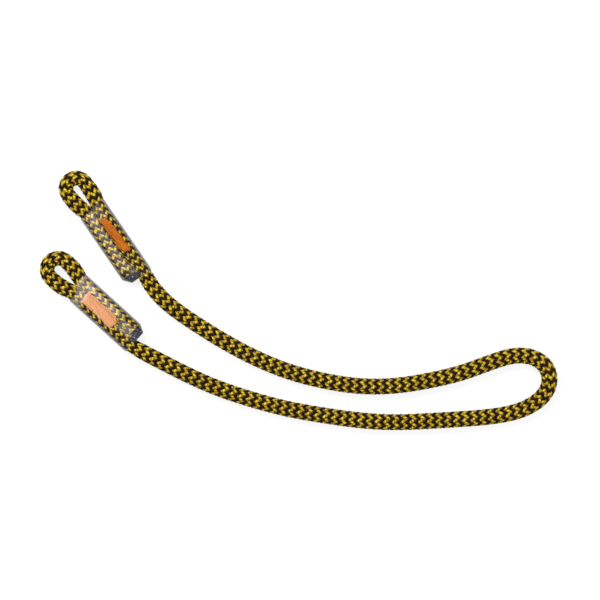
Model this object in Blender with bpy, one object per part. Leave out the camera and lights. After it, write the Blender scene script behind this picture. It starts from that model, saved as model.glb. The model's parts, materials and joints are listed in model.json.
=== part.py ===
"""A tree climbing lanyard: one length of braided rope with a sewn eye at each end.

It lies flat, as in the photograph, on z = 0. The rope runs from eye a along leg a,
round the bight and back along leg b to eye b. Each eye's tail is stitched to its
standing part, and a clear shrink sleeve covers the stitching. Lengths are in metres.
"""
import math

import bmesh
import bpy
import numpy as np
from mathutils import Vector

# Rope: a braided cover over a core of twisted yarns
ROPE_DIAMETER = 0.0100
EYE_ROPE_DIAMETER = 0.0088      # the same rope, drawn tight in its sewn eyes
NECK_DIAMETER = 0.0098          # where it swells again, on leaving the sleeve
COVER_WALL = 0.0016
SEAT = 0.0003                   # clearance between pieces that touch

# Sewn end, the same at both ends of the rope
SLEEVE_LENGTH = 0.0515
SLEEVE_WALL = 0.0005
SLEEVE_EASE = 0.00025           # between the sleeve and the rope's sides
NECK_LENGTH = 0.0085            # from the rope's flexing point to the sleeve's end
EYE_LOOP_LENGTH = 0.0279        # from the sleeve's far end to the tip of the eye, outside
PARTING_INSET = 0.0008          # how far past that end the two ropes start to part
MOUTH_SWELL = 0.0005            # how much the rope swells just past the sleeve's far end
LOOP_SWELL = 0.0002             # how much it stays swollen round the eye
TAIL_INSET = 0.0025             # how far inside the sleeve the rope's cut end lies
TAIL_SEAL_LENGTH = 0.0045
TAIL_SEAL_TIP_DIAMETER = 0.0046

# Stitching: rows of thread on the top and the underside of the two ropes
THREAD_DIAMETER = 0.0006
THREAD_SEAT = 0.00015
THREAD_HEADROOM = 0.0003        # between the thread and the sleeve over it
STITCH_START = 0.0165           # from the sleeve's end to the nearest row ends
STITCH_LENGTH = 0.0270
STITCH_SLANT = 0.0035           # how far the last row starts past the first
STITCH_LEVEL = 0.0034           # rows bridge the valley between the ropes at this height
STITCH_ROWS = 7

# What differs between the two ends. The pivot is the point where the rope flexes
# next to the sleeve, and the heading is the way from there to the eye. The tail
# lies on the left of that way where its side is 1, and on the right where it is -1.
ENDS = {
    "eye_a": {
        "heading": 124.4,
        "tail_side": 1,
        "opening_width": 0.0042,
        "loop_lean": 0.0008,
        "pivot_shift": 0.0008,
        "stitch_offset": 0.0027,
        "stitch_width": 0.0050,
    },
    "eye_b": {
        "heading": 137.8,
        "tail_side": -1,
        "opening_width": 0.0054,
        "loop_lean": 0.0003,
        "pivot_shift": 0.0021,
        "stitch_offset": 0.0008,
        "stitch_width": 0.0064,
    },
}

# The free rope's route, chosen by hand along its middle, from inside sleeve a to
# inside sleeve b. The second point is pivot a, the last but one is pivot b.
ROUTE = [
    (-0.1004, 0.0190),
    (-0.0962, 0.0117),
    (-0.0881, 0.0017),
    (-0.0697, -0.0126),
    (-0.0500, -0.0250),
    (-0.0295, -0.0360),
    (-0.0081, -0.0449),
    (0.0143, -0.0510),
    (0.0373, -0.0546),
    (0.0606, -0.0546),
    (0.0836, -0.0512),
    (0.1062, -0.0456),
    (0.1280, -0.0379),
    (0.1400, -0.0352),
    (0.1512, -0.0368),
    (0.1590, -0.0432),
    (0.1609, -0.0517),
    (0.1585, -0.0587),
    (0.1520, -0.0653),
    (0.1417, -0.0705),
    (0.1280, -0.0737),
    (0.1072, -0.0758),
    (0.0840, -0.0772),
    (0.0608, -0.0780),
    (0.0375, -0.0766),
    (0.0144, -0.0734),
    (-0.0085, -0.0692),
    (-0.0310, -0.0632),
    (-0.0530, -0.0558),
    (-0.0741, -0.0464),
    (-0.0898, -0.0384),
    (-0.1003, -0.0329),
    (-0.1079, -0.0286),
]
PIVOT_A, BIGHT, PIVOT_B = 1, 16, 31
SINK_LENGTH = 0.0350            # in which the rope comes down from a sleeve's height
ROUTE_STEPS = 24                # fine steps in each span of the smooth curve

# How finely round pieces are cut
ROPE_SIDES_RESOLUTION = 4       # twelve sides
BORE_TURN = math.radians(15.0)  # half a side, so that no bore edge meets an outer edge
THREAD_SIDES_RESOLUTION = 1     # six sides
LEG_SPACING = 0.0150            # tube points along a straight stretch
BIGHT_SPACING = 0.0070          # tube points round the bight
BIGHT_REACH = 0.0420            # how far either side of the bight they lie so close
BALL_STEPS = 4
BALL_STEEPEST = 80.0            # degrees, where a ball end is cut flat
SOCKET_SEGMENTS = 32
LOOP_STEPS = 9
FLARE_STEPS = 5
FLARE_FULLNESS = 2.6            # how soon the two ropes part past the sleeve's far end
SWELL_FULLNESS = 0.7            # how soon the rope swells there
NECK_FULLNESS = 1.3             # how evenly it bends from the pivot to the tail's cut
SLEEVE_POINT_SHARES = (0.2, 0.5, 0.8)
SLEEVE_ARC_STEPS = 8
ROW_STEPS = 3
BORE_OVERRUN = 0.0040
MERGE_DISTANCE = 0.000003
SMOOTH_ANGLE = math.radians(40.0)

# Sizes that follow from those above
ROPE_RADIUS = ROPE_DIAMETER / 2
EYE_ROPE_RADIUS = EYE_ROPE_DIAMETER / 2
BORE_RADIUS = ROPE_RADIUS - COVER_WALL
CORE_RADIUS = BORE_RADIUS - SEAT
EYE_BORE_RADIUS = EYE_ROPE_RADIUS - COVER_WALL
EYE_CORE_RADIUS = EYE_BORE_RADIUS - SEAT
THREAD_RADIUS = THREAD_DIAMETER / 2
SOCKET_RADIUS = ROPE_RADIUS + SEAT
ROPE_SPACING = EYE_ROPE_DIAMETER + SEAT
SLEEVE_BORE_HALF_HEIGHT = EYE_ROPE_RADIUS + THREAD_SEAT + THREAD_DIAMETER + THREAD_HEADROOM
SLEEVE_BORE_HALF_WIDTH = (ROPE_SPACING + EYE_ROPE_DIAMETER) / 2 + SLEEVE_EASE
SLEEVE_HALF_HEIGHT = SLEEVE_BORE_HALF_HEIGHT + SLEEVE_WALL
SLEEVE_HALF_WIDTH = SLEEVE_BORE_HALF_WIDTH + SLEEVE_WALL
EYE_HEIGHT = SLEEVE_HALF_HEIGHT  # the rope's middle in the eyes, above the ground
SLEEVE_NEAR = NECK_LENGTH
SLEEVE_FAR = NECK_LENGTH + SLEEVE_LENGTH
TAIL_CUT = SLEEVE_NEAR + TAIL_INSET
LOOP_ROPE_RADIUS = EYE_ROPE_RADIUS + LOOP_SWELL
LOOP_TIP = SLEEVE_FAR + EYE_LOOP_LENGTH - LOOP_ROPE_RADIUS
PARTING = SLEEVE_FAR + PARTING_INSET


def material(name, colour, roughness, alpha=1.0):
    """A Principled material in a plain colour."""
    made = bpy.data.materials.new(name)
    made.use_nodes = True
    shader = made.node_tree.nodes["Principled BSDF"]
    shader.inputs["Base Color"].default_value = (*colour, 1.0)
    shader.inputs["Roughness"].default_value = roughness
    shader.inputs["Metallic"].default_value = 0.0
    shader.inputs["Alpha"].default_value = alpha
    made.diffuse_color = (*colour, alpha)
    return made


def smooth(share):
    """An even rise from 0 to 1 that starts and ends level."""
    held = min(max(share, 0.0), 1.0)
    return held * held * (3 - 2 * held)


def smooth_curve(points):
    """Fine points along the one natural cubic curve through the given points."""
    given = np.array(points)
    count = len(given)
    spans = np.linalg.norm(np.diff(given, axis=0), axis=1)
    slopes = np.diff(given, axis=0) / spans[:, None]
    system = np.eye(count)
    change = np.zeros_like(given)
    for i in range(1, count - 1):
        system[i, i - 1:i + 2] = spans[i - 1], 2 * (spans[i - 1] + spans[i]), spans[i]
        change[i] = 6 * (slopes[i] - slopes[i - 1])
    bend = np.linalg.solve(system, change)
    fine = []
    for i in range(count - 1):
        for k in range(ROUTE_STEPS):
            after = k / ROUTE_STEPS
            before = 1 - after
            straight = before * given[i] + after * given[i + 1]
            curved = (before**3 - before) * bend[i] + (after**3 - after) * bend[i + 1]
            fine.append(straight + curved * spans[i] ** 2 / 6)
    fine.append(given[-1])
    return np.array(fine)


def route_points():
    """The free rope's smooth middle line, which sinks from the sleeves to the ground."""
    flat = smooth_curve(ROUTE)
    steps = np.linalg.norm(np.diff(flat, axis=0), axis=1)
    along = np.concatenate([[0.0], np.cumsum(steps)])
    first, last = along[PIVOT_A * ROUTE_STEPS], along[PIVOT_B * ROUTE_STEPS]
    points = []
    for (x, y), s in zip(flat, along):
        sunk = smooth(min(s - first, last - s) / SINK_LENGTH)
        points.append((x, y, EYE_HEIGHT + (ROPE_RADIUS - EYE_HEIGHT) * sunk))
    return np.array(points)


def stretch(fine, first, last):
    """Tube points from one route point to another, closer together near the bight."""
    part = fine[first * ROUTE_STEPS:last * ROUTE_STEPS + 1]
    steps = np.linalg.norm(np.diff(part, axis=0), axis=1)
    along = np.concatenate([[0.0], np.cumsum(steps)])
    total = along[-1]
    bend_at = 0.0 if first == BIGHT else total
    stops = [0.0]
    while stops[-1] < total:
        near = abs(stops[-1] - bend_at) < BIGHT_REACH
        stops.append(stops[-1] + (BIGHT_SPACING if near else LEG_SPACING))
    stops = np.array(stops) * total / stops[-1]
    return np.stack([np.interp(stops, along, part[:, k]) for k in range(3)], axis=1)


def ball_end(points, ball_radius, tube_radius):
    """Rings that round a tube's last point off as a ball about that point."""
    end = points[-1]
    way = end - points[-2]
    way = way / np.linalg.norm(way)
    lowest = math.acos(min(tube_radius / ball_radius, 1.0))
    highest = math.radians(BALL_STEEPEST)
    rings = []
    for k in range(BALL_STEPS + 1):
        angle = lowest + (highest - lowest) * k / BALL_STEPS
        rings.append((end + way * ball_radius * math.sin(angle), ball_radius * math.cos(angle)))
    return rings


def link(obj, collection, parent=None, at=None, turn=0.0):
    """Put an object in its collection, under its parent and in its place."""
    collection.objects.link(obj)
    obj.parent = parent
    if at is not None:
        obj.location = at
    obj.rotation_euler = (0.0, 0.0, turn)
    return obj


def tube(name, rings, resolution, collection, parent=None, turn=0.0):
    """A round tube through rings, each a middle point and a radius, made a closed mesh.

    turn turns its sides about its middle line.
    """
    largest = max(radius for _, radius in rings)
    curve = bpy.data.curves.new(name, "CURVE")
    curve.dimensions = "3D"
    curve.bevel_depth = largest
    curve.bevel_resolution = resolution
    curve.use_fill_caps = True
    spline = curve.splines.new("POLY")
    spline.points.add(len(rings) - 1)
    for point, (middle, radius) in zip(spline.points, rings):
        point.co = (*middle, 1.0)
        point.radius = radius / largest
        point.tilt = turn
    source = bpy.data.objects.new(name + "_line", curve)
    collection.objects.link(source)
    graph = bpy.context.evaluated_depsgraph_get()
    mesh = bpy.data.meshes.new_from_object(source.evaluated_get(graph))
    bpy.data.objects.remove(source)
    mesh.name = name
    shape = bmesh.new()
    shape.from_mesh(mesh)
    bmesh.ops.remove_doubles(shape, verts=shape.verts, dist=MERGE_DISTANCE)
    bmesh.ops.recalc_face_normals(shape, faces=shape.faces)
    shape.to_mesh(mesh)
    shape.free()
    return link(bpy.data.objects.new(name, mesh), collection, parent)


def bore_tube(name, rings, parent):
    """A tube in the cutters' collection, which bores out a cover."""
    return as_cutter(tube(name, rings, ROPE_SIDES_RESOLUTION, CUTTERS, parent, BORE_TURN))


def as_cutter(obj):
    """Mark an object as a guide for cutting, which isn't part of the model."""
    obj.hide_render = True
    obj.display_type = "WIRE"
    return obj


def socket_cutter(name, parent):
    """A ball about the parent's joint, which leaves a hollow for a ball end."""
    mesh = bpy.data.meshes.new(name)
    shape = bmesh.new()
    bmesh.ops.create_uvsphere(
        shape, u_segments=SOCKET_SEGMENTS, v_segments=SOCKET_SEGMENTS // 2, radius=SOCKET_RADIUS
    )
    shape.to_mesh(mesh)
    shape.free()
    return as_cutter(link(bpy.data.objects.new(name, mesh), CUTTERS, parent))


def cut(obj, cutter):
    """Take the cutter's space out of an object."""
    modifier = obj.modifiers.new("cut_" + cutter.name, "BOOLEAN")
    modifier.operation = "DIFFERENCE"
    modifier.solver = "EXACT"
    modifier.object = cutter


def finish(obj, look):
    """Give an object its material and smooth round sides."""
    obj.data.materials.clear()
    obj.data.materials.append(look)
    obj.data.shade_smooth()
    obj.data.set_sharp_from_angle(angle=SMOOTH_ANGLE)
    return obj


def joint_empty(name, at, turn=0.0, parent=None):
    """An empty on a joint's axis, which carries what turns about it."""
    empty = bpy.data.objects.new(name, None)
    link(empty, LANYARD, parent, at, turn)
    return empty


def even_rings(points, radius):
    """Rings of one radius."""
    return [(point, radius) for point in points]


def longer(points, overrun):
    """The same line, with its two end points moved on past its ends."""
    first = points[0] - points[1]
    last = points[-1] - points[-2]
    before = points[0] + first / np.linalg.norm(first) * overrun
    after = points[-1] + last / np.linalg.norm(last) * overrun
    return np.concatenate([[before], points[1:-1], [after]])


def leg(name, fine, first, last, joint, ball_both):
    """One leg of the free rope: its cover, and the core inside it."""
    points = stretch(fine, first, last) - np.array(joint.location)
    backwards = points[::-1]
    bore = longer(points, ROPE_RADIUS + BORE_OVERRUN)
    pieces = []
    for piece, radius, turn in (("cover", ROPE_RADIUS, 0.0), ("core", CORE_RADIUS, BORE_TURN)):
        rings = even_rings(points[:-1], radius) + ball_end(points, ROPE_RADIUS, radius)
        if ball_both:
            start = ball_end(backwards, ROPE_RADIUS, radius)
            rings = start[::-1] + rings[1:]
        pieces.append(
            tube(f"{name}_rope_{piece}", rings, ROPE_SIDES_RESOLUTION, LANYARD, joint, turn)
        )
    cut(pieces[0], bore_tube(name + "_bore", even_rings(bore, BORE_RADIUS), joint))
    return pieces


def eye_line(end):
    """The rope's line in a sewn end, from the pivot round the eye to the tail's cut.

    Its places lie in the end's own frame: x runs from the pivot to the eye, and the
    second number is how far towards the tail a place lies from the standing part. The
    third is the rope's radius there.
    """
    middle = ROPE_SPACING / 2
    half_opening = end["opening_width"] / 2 + LOOP_ROPE_RADIUS
    round_centre = LOOP_TIP - half_opening
    neck = []
    for k in range(FLARE_STEPS + 1):
        x = TAIL_CUT * k / FLARE_STEPS
        bent = (1 - x / TAIL_CUT) ** NECK_FULLNESS
        neck.append((x, end["pivot_shift"] * bent, neck_radius(x)))
    sleeve = [SLEEVE_NEAR + SLEEVE_LENGTH * share for share in SLEEVE_POINT_SHARES]
    flare = []
    for k in range(FLARE_STEPS):
        share = k / FLARE_STEPS
        x = PARTING + (round_centre - PARTING) * share
        spread = (half_opening - middle) * (1 - (1 - share) ** FLARE_FULLNESS)
        swell = MOUTH_SWELL * math.sin(math.pi * share**SWELL_FULLNESS) + LOOP_SWELL * smooth(share)
        lean = end["loop_lean"] * smooth(share)
        flare.append((x, middle + spread, lean, EYE_ROPE_RADIUS + swell))
    arc = []
    for k in range(LOOP_STEPS + 1):
        angle = math.pi * k / LOOP_STEPS
        along = round_centre + half_opening * math.sin(angle)
        across = middle + end["loop_lean"] - half_opening * math.cos(angle)
        arc.append((along, across, LOOP_ROPE_RADIUS))
    places = neck + [(x, 0.0, EYE_ROPE_RADIUS) for x in sleeve]
    places += [(x, middle + lean - spread, radius) for x, spread, lean, radius in flare]
    places += arc
    places += [(x, middle + lean + spread, radius) for x, spread, lean, radius in reversed(flare)]
    places += [(x, ROPE_SPACING, EYE_ROPE_RADIUS) for x in reversed(sleeve)]
    places.append((TAIL_CUT, ROPE_SPACING, EYE_ROPE_RADIUS))
    return places


def in_end(end, x, across, height=0.0):
    """A point of a sewn end, from its way along and across it, in its joint's frame."""
    return np.array((x, end["tail_side"] * (across - end["pivot_shift"]), height))


def neck_radius(x):
    """The rope's outer radius in a sewn end, which swells again at the neck."""
    swollen = NECK_DIAMETER / 2 - EYE_ROPE_RADIUS
    return EYE_ROPE_RADIUS + swollen * (1 - smooth(x / NECK_LENGTH))


def eye_rope(name, end, joint):
    """The rope of a sewn eye: its cover, and the core inside it."""
    line = eye_line(end)
    points = np.array([in_end(end, x, across) for x, across, _ in line])
    radii = [radius for _, _, radius in line]
    cover = tube(
        name + "_rope_cover", list(zip(points, radii)), ROPE_SIDES_RESOLUTION, LANYARD, joint
    )
    core_rings = even_rings(points, EYE_CORE_RADIUS)
    core = tube(
        name + "_rope_core", core_rings, ROPE_SIDES_RESOLUTION, LANYARD, joint, BORE_TURN
    )
    bore = longer(points, BORE_OVERRUN)
    cut(cover, bore_tube(name + "_bore", even_rings(bore, EYE_BORE_RADIUS), joint))
    socket = socket_cutter(name + "_socket", joint)
    cut(cover, socket)
    cut(core, socket)
    return cover, core


def stadium(half_width, half_height):
    """The outline of a flat-sided round shape: two half circles and two straights."""
    outline = []
    for way, start in ((1, -math.pi / 2), (-1, math.pi / 2)):
        centre = way * (half_width - half_height)
        for k in range(SLEEVE_ARC_STEPS + 1):
            angle = start + math.pi * k / SLEEVE_ARC_STEPS
            outline.append((centre + half_height * math.cos(angle), half_height * math.sin(angle)))
    return outline


def sleeve(name, end, joint):
    """The clear sleeve shrunk round both ropes: a flat-sided ring drawn out lengthwise."""
    curve = bpy.data.curves.new(name, "CURVE")
    curve.dimensions = "2D"
    curve.fill_mode = "BOTH"
    curve.extrude = SLEEVE_LENGTH / 2
    sections = (
        (SLEEVE_HALF_WIDTH, SLEEVE_HALF_HEIGHT),
        (SLEEVE_BORE_HALF_WIDTH, SLEEVE_BORE_HALF_HEIGHT),
    )
    for half_width, half_height in sections:
        outline = stadium(half_width, half_height)
        spline = curve.splines.new("POLY")
        spline.points.add(len(outline) - 1)
        for point, (across, up) in zip(spline.points, outline):
            point.co = (across, up, 0.0, 1.0)
        spline.use_cyclic_u = True
    source = bpy.data.objects.new(name + "_outline", curve)
    LANYARD.objects.link(source)
    graph = bpy.context.evaluated_depsgraph_get()
    mesh = bpy.data.meshes.new_from_object(source.evaluated_get(graph))
    bpy.data.objects.remove(source)
    shape = bmesh.new()
    shape.from_mesh(mesh)
    bmesh.ops.remove_doubles(shape, verts=shape.verts, dist=MERGE_DISTANCE)
    bmesh.ops.recalc_face_normals(shape, faces=shape.faces)
    shape.to_mesh(mesh)
    shape.free()
    made = bpy.data.objects.new(name, mesh)
    middle = in_end(end, SLEEVE_NEAR + SLEEVE_LENGTH / 2, ROPE_SPACING / 2)
    link(made, LANYARD, joint, middle)
    made.rotation_euler = (math.pi / 2, 0.0, math.pi / 2)
    return made


def row_height(across):
    """How high over the rope's middle plane a thread lies at one place across it."""
    from_rope = abs(abs(across - ROPE_SPACING / 2) - ROPE_SPACING / 2)
    reach = EYE_ROPE_RADIUS + THREAD_SEAT + THREAD_RADIUS
    return max(math.sqrt(reach**2 - from_rope**2), STITCH_LEVEL)


def thread(name, end, joint, face):
    """Rows of stitching, one unbroken thread that turns at each row's end.

    face is 1 on top of the ropes and -1 on their underside.
    """
    rings = []
    last_row = STITCH_ROWS - 1
    for row in range(STITCH_ROWS):
        share = row / last_row
        towards_standing = end["stitch_offset"] + end["stitch_width"] / 2 - end["stitch_width"] * share
        across = ROPE_SPACING / 2 - towards_standing
        start = SLEEVE_NEAR + STITCH_START + STITCH_SLANT * share
        steps = [start + STITCH_LENGTH * k / ROW_STEPS for k in range(ROW_STEPS + 1)]
        if row % 2:
            steps.reverse()
        for x in steps:
            rings.append((in_end(end, x, across, face * row_height(across)), THREAD_RADIUS))
    return tube(name, rings, THREAD_SIDES_RESOLUTION, LANYARD, joint)


def tail_seal(name, end, joint):
    """The melted cap on the rope's cut end, which narrows to a blunt tip."""
    rings = []
    start = TAIL_CUT - SEAT
    tip = TAIL_SEAL_TIP_DIAMETER / 2
    for k in range(BALL_STEPS + 1):
        share = k / BALL_STEPS
        radius = tip + (EYE_ROPE_RADIUS - tip) * math.sqrt(1 - share**2)
        rings.append((in_end(end, start - TAIL_SEAL_LENGTH * share, ROPE_SPACING), radius))
    return tube(name, rings, ROPE_SIDES_RESOLUTION, LANYARD, joint)


def sewn_end(name, end, pivot, looks, parent):
    """One sewn end of the rope, on the joint at the route's point where the rope flexes."""
    place = Vector((*ROUTE[pivot], EYE_HEIGHT))
    if parent is not None:
        place -= parent.location
    joint = joint_empty(name + "_swing", place, math.radians(end["heading"]), parent)
    cover, core = eye_rope(name, end, joint)
    finish(cover, looks["cover"])
    finish(core, looks["core"])
    finish(sleeve(name + "_sleeve", end, joint), looks["sleeve"])
    finish(thread(name + "_needle_thread", end, joint, 1), looks["thread"])
    finish(thread(name + "_bobbin_thread", end, joint, -1), looks["thread"])
    finish(tail_seal(name + "_tail_seal", end, joint), looks["seal"])


for old in list(bpy.data.objects):
    bpy.data.objects.remove(old)

LANYARD = bpy.data.collections.new("tree_climbing_lanyard")
CUTTERS = bpy.data.collections.new("cutters")
bpy.context.scene.collection.children.link(LANYARD)
bpy.context.scene.collection.children.link(CUTTERS)

LOOKS = {
    "cover": material("rope_cover_yellow_black", (0.42, 0.32, 0.04), 0.75),
    "core": material("rope_core_white", (0.80, 0.79, 0.74), 0.80),
    "sleeve": material("clear_shrink_sleeve", (0.45, 0.42, 0.45), 0.25, 0.4),
    "thread": material("orange_thread", (0.75, 0.16, 0.01), 0.65),
    "seal": material("melted_rope_end", (0.05, 0.05, 0.06), 0.45),
}

line = route_points()
bight_joint = joint_empty("bight_bend", Vector(line[BIGHT * ROUTE_STEPS]))
for piece, look in zip(leg("leg_a", line, PIVOT_A, BIGHT, bight_joint, True), ("cover", "core")):
    finish(piece, LOOKS[look])

root = joint_empty("rope_b", Vector((0.0, 0.0, 0.0)))
leg_b_pieces = leg("leg_b", line, BIGHT, PIVOT_B, root, False)
bight_socket = socket_cutter("bight_socket", bight_joint)
for piece, look in zip(leg_b_pieces, ("cover", "core")):
    cut(piece, bight_socket)
    finish(piece, LOOKS[look])

sewn_end("eye_a", ENDS["eye_a"], PIVOT_A, LOOKS, bight_joint)
sewn_end("eye_b", ENDS["eye_b"], PIVOT_B, LOOKS, root)

free_length = np.linalg.norm(np.diff(line, axis=0), axis=1).sum()
print(f"free rope between the sleeves: {free_length:.4f} m")
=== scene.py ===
# %% [markdown]
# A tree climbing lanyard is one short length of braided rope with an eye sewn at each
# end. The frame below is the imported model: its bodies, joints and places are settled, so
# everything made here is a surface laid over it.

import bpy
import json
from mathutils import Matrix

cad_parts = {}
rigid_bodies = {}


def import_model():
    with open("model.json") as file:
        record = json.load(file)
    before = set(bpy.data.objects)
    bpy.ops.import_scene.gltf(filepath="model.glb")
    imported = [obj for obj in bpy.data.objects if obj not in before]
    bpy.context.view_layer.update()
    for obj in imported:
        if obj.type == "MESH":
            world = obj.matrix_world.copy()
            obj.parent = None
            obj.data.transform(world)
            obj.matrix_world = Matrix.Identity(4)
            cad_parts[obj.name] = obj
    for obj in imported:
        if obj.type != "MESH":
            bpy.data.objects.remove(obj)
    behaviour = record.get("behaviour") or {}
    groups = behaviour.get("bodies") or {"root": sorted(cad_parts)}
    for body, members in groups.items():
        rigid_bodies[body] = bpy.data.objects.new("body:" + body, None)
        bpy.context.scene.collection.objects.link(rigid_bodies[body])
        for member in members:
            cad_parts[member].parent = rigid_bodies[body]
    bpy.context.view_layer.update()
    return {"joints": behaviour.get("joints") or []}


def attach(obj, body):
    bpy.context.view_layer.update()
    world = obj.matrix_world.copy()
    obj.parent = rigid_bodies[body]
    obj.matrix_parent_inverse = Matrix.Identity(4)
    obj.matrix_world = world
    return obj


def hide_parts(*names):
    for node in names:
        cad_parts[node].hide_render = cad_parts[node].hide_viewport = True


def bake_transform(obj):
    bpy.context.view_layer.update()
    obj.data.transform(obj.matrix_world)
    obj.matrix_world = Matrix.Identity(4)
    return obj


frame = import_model()

import json
import math

import bpy
import numpy as np
from mathutils import Vector

MM = 0.001
joints = {joint["name"]: joint for joint in frame["joints"]}

# %% [markdown]
# The camera looks straight down, as the photographer's did. A long lens a long way off
# keeps the sleeves' sides out of view. One pixel of the 600 pixel frame covers 0.645 mm,
# which the rope's width gives, and the middle of that frame lies close to the middle of
# the lanyard.

# %% Camera
FRAME_PIXELS = 600
PIXEL = 0.645 * MM
SENSOR = 36.0 * MM
LENS = 160.0 * MM
VIEW_CENTRE = (0.8 * PIXEL, 0.9 * PIXEL)

camera_distance = FRAME_PIXELS * PIXEL * LENS / SENSOR
camera_data = bpy.data.cameras.new("camera")
camera_data.lens = LENS / MM
camera_data.sensor_width = SENSOR / MM
camera = bpy.data.objects.new("camera", camera_data)
bpy.context.scene.collection.objects.link(camera)
camera.location = (*VIEW_CENTRE, camera_distance)
bpy.context.scene.camera = camera
print(f"camera {camera_distance:.2f} m above the rope")

# %% [markdown]
# The rope's route is the one that the solids follow: points listed along its middle,
# from inside one sleeve to inside the other. The second point and the last but one are
# where the rope flexes, just outside the sleeves.

# %% The free rope's route
ROUTE = [
    (-0.1004, 0.0190), (-0.0962, 0.0117), (-0.0881, 0.0017), (-0.0697, -0.0126),
    (-0.0500, -0.0250), (-0.0295, -0.0360), (-0.0081, -0.0449), (0.0143, -0.0510),
    (0.0373, -0.0546), (0.0606, -0.0546), (0.0836, -0.0512), (0.1062, -0.0456),
    (0.1280, -0.0379), (0.1400, -0.0352), (0.1512, -0.0368), (0.1590, -0.0432),
    (0.1609, -0.0517), (0.1585, -0.0587), (0.1520, -0.0653), (0.1417, -0.0705),
    (0.1280, -0.0737), (0.1072, -0.0758), (0.0840, -0.0772), (0.0608, -0.0780),
    (0.0375, -0.0766), (0.0144, -0.0734), (-0.0085, -0.0692), (-0.0310, -0.0632),
    (-0.0530, -0.0558), (-0.0741, -0.0464), (-0.0898, -0.0384), (-0.1003, -0.0329),
    (-0.1079, -0.0286),
]
PIVOT_A, PIVOT_B = 1, 31
print("the route has", len(ROUTE), "points")

# %% [markdown]
# A bent rope's curvature never jumps. Straight steps would show as kinks in the braid,
# and a row of arcs as stiff bends, so one natural cubic curve joins the points. Its
# curvature changes evenly from each point to the next, and is nought at both ends.

# %% A curve through points
ROUTE_STEPS = 24


def distance_along(points):
    """How far along a line each of its points lies."""
    steps = np.linalg.norm(np.diff(points, axis=0), axis=1)
    return np.concatenate([[0.0], np.cumsum(steps)])


def smooth_curve(points):
    """Fine points along the one natural cubic curve through the given points."""
    given = np.array(points)
    count = len(given)
    spans = np.linalg.norm(np.diff(given, axis=0), axis=1)
    slopes = np.diff(given, axis=0) / spans[:, None]
    system = np.eye(count)
    change = np.zeros_like(given)
    for i in range(1, count - 1):
        system[i, i - 1:i + 2] = spans[i - 1], 2 * (spans[i - 1] + spans[i]), spans[i]
        change[i] = 6 * (slopes[i] - slopes[i - 1])
    bend = np.linalg.solve(system, change)
    fine = []
    for i in range(count - 1):
        for k in range(ROUTE_STEPS):
            after = k / ROUTE_STEPS
            before = 1 - after
            straight = before * given[i] + after * given[i + 1]
            curved = (before**3 - before) * bend[i] + (after**3 - after) * bend[i + 1]
            fine.append(straight + curved * spans[i] ** 2 / 6)
    fine.append(given[-1])
    return np.array(fine)


flat = smooth_curve(ROUTE)[PIVOT_A * ROUTE_STEPS:PIVOT_B * ROUTE_STEPS + 1]
flat_along = distance_along(flat)
print("fine points from one flexing point to the other:", len(flat))

# %% [markdown]
# The free rope lies on the floor, but in the sleeves it is held up a little, with film
# under it. So the line comes down from the flexing points' height to the rope's own
# radius over a few centimetres, as a stiff rope does.

# %% The free rope
ROPE_RADIUS = 5.0 * MM
EYE_HEIGHT = joints["eye_a_swing"]["pos_m"][2]
SINK_LENGTH = 35.0 * MM


def smooth(share):
    """An even rise from 0 to 1 that starts and ends level."""
    held = np.clip(share, 0.0, 1.0)
    return held * held * (3 - 2 * held)


from_nearer_end = np.minimum(flat_along, flat_along[-1] - flat_along)
sunk = smooth(from_nearer_end / SINK_LENGTH)
free_line = np.column_stack([flat, EYE_HEIGHT + (ROPE_RADIUS - EYE_HEIGHT) * sunk])
print(f"rope between the two flexing points: {distance_along(free_line)[-1] / MM:.0f} mm")

# %% [markdown]
# A sewn end is laid out in its own frame, from the point where the rope flexes beside
# the sleeve towards the eye. The standing part and the tail lie side by side in the
# sleeve, then part and meet in a half circle round the eye. Both ends have the same
# sizes. Only the openings and the way that they point differ.

# %% Sizes of the sewn ends
EYE_ROPE_RADIUS = 4.4 * MM
NECK_RADIUS = 4.9 * MM
ROPE_SPACING = 9.1 * MM
NECK_LENGTH = 8.5 * MM
SLEEVE_LENGTH = 51.5 * MM
LOOP_LENGTH = 27.9 * MM
TAIL_INSET = 2.5 * MM
PARTING_INSET = 0.8 * MM
MOUTH_SWELL = 0.5 * MM
LOOP_SWELL = 0.2 * MM
FLARE_FULLNESS = 2.6
SWELL_FULLNESS = 0.7
NECK_FULLNESS = 1.3
SLEEVE_FAR = NECK_LENGTH + SLEEVE_LENGTH
PARTING = SLEEVE_FAR + PARTING_INSET
TAIL_CUT = NECK_LENGTH + TAIL_INSET
LOOP_ROPE_RADIUS = EYE_ROPE_RADIUS + LOOP_SWELL
LOOP_TIP = SLEEVE_FAR + LOOP_LENGTH - LOOP_ROPE_RADIUS

ENDS = {
    "eye_a": {
        "heading": math.radians(124.4), "tail_side": 1, "pivot_shift": 0.8 * MM,
        "opening_width": 4.2 * MM, "loop_lean": 0.8 * MM,
    },
    "eye_b": {
        "heading": math.radians(137.8), "tail_side": -1, "pivot_shift": 2.1 * MM,
        "opening_width": 5.4 * MM, "loop_lean": 0.3 * MM,
    },
}
print(f"a sewn end is {(SLEEVE_FAR + LOOP_LENGTH) / MM:.1f} mm long")

# %% [markdown]
# The seam squeezes the rope, which swells again on leaving it. The two ropes don't
# spread like a fork: they bow out at once and meet the half circle at its full width.
# Each place is worked out from its distance from the flexing point, so that the film
# and the stitching can later ask where the ropes lie below them.

# %% The line of a sewn end
LINE_STEP = 0.4 * MM


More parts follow.
